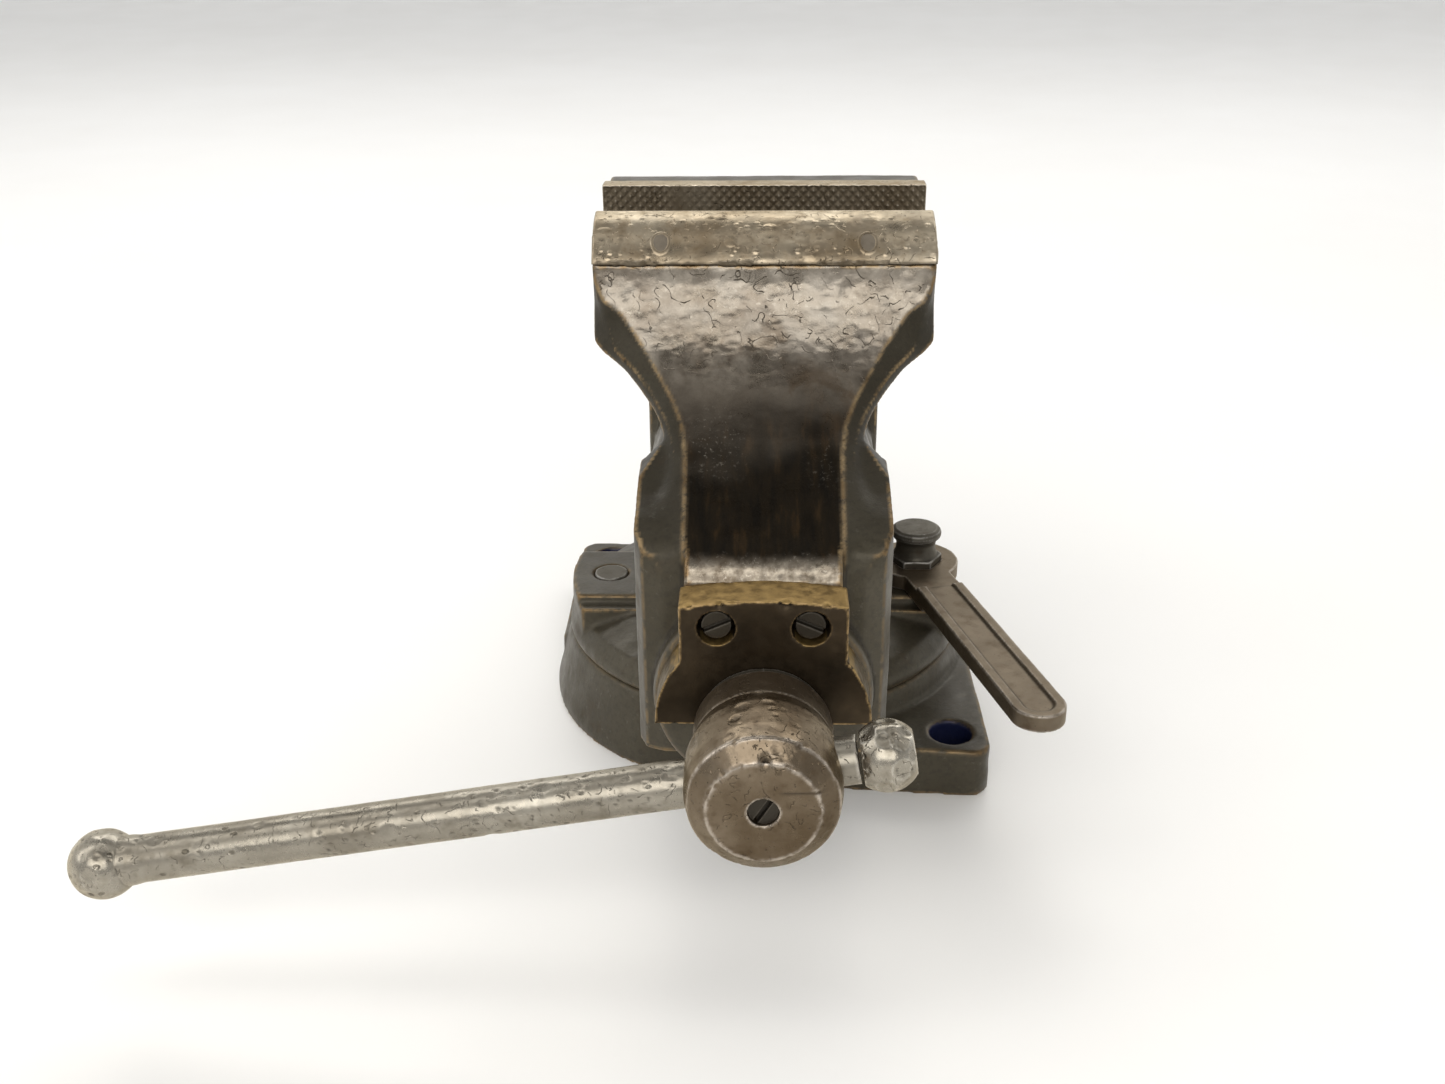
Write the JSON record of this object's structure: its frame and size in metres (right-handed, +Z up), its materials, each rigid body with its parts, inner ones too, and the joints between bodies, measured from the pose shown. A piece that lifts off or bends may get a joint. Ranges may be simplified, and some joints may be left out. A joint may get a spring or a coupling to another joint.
{
  "type": "swivel-base bench vise",
  "caption": "Old cast-iron bench vise with hourglass moving jaw, bronze thrust plate, sliding ball-end handle and a swivel base locked by a side lever.",
  "frame": {"origin": "on the bench, on the swivel axis, at the middle of the circle through the two bench bolt holes", "axes": "+Z up along the swivel axis, -Y towards the screw handle, X across the jaws"},
  "size_m": [0.2742, 0.313, 0.1855],
  "materials": {
    "casting": "worn dark grey-green paint over cast iron",
    "jaw_steel": "worn and tinted bare steel",
    "bright_steel": "bright, dented and pitted steel",
    "bronze": "aged bronze, bright on its edges",
    "dark_steel": "dark oiled steel"
  },
  "bodies": {
    "base": {"swivel_base": "casting"},
    "vise_body": {"static_body": "casting", "fixed_jaw_plate": "jaw_steel", "fixed_jaw_pins": "bright_steel", "spindle_nut": "bronze", "nut_bolts": "dark_steel", "fixed_clamp_stud": "dark_steel", "fixed_clamp_washer": "dark_steel"},
    "jaw_slide": {"moving_jaw": "casting", "moving_jaw_plate": "jaw_steel", "moving_jaw_pins": "bright_steel", "thrust_plate": "bronze", "thrust_plate_screws": "dark_steel"},
    "screw": {"spindle": "jaw_steel", "thrust_washer": "dark_steel", "detent_screw": "dark_steel", "detent_spring": "bright_steel", "detent_plug": "bronze", "end_washer": "bright_steel", "end_pin": "bright_steel"},
    "handle": {"handle_rod": "bright_steel", "handle_ball": "bright_steel"},
    "swivel_lock": {"clamp_bolt": "dark_steel", "clamp_lever": "dark_steel"},
    "lock_shoe": {"clamp_shoe": "dark_steel"}
  },
  "joints": [
    {"name": "swivel", "type": "hinge", "parent": "base", "child": "vise_body", "pos_m": [0, 0, 0.025], "axis": [0, 0, 1], "continuous": true},
    {"name": "jaw_travel", "type": "slide", "parent": "vise_body", "child": "jaw_slide", "axis": [0, -1, 0], "range_m": [-0.0209, 0.104]},
    {"name": "screw_turn", "type": "hinge", "parent": "jaw_slide", "child": "screw", "pos_m": [0, -0.15, 0.068], "axis": [0, -1, 0], "range_deg": [-1490, 7380]},
    {"name": "handle_slide", "type": "slide", "parent": "screw", "child": "handle", "axis": [0.9854, 0, 0.1702], "range_m": [-0.0015, 0.147]},
    {"name": "lock_turn", "type": "hinge", "parent": "vise_body", "child": "swivel_lock", "pos_m": [0.0545, -0.004, 0.047], "axis": [0, 0, 1], "range_deg": [-15, 60]},
    {"name": "shoe_lift", "type": "slide", "parent": "vise_body", "child": "lock_shoe", "axis": [0, 0, 1], "range_m": [-0.0003, 0.00008]}
  ],
  "couplings": [
    {"joint": "screw_turn", "follows": "jaw_travel", "rad_per_m": 1236.8},
    {"joint": "shoe_lift", "follows": "lock_turn", "m_per_rad": -0.00027852}
  ]
}
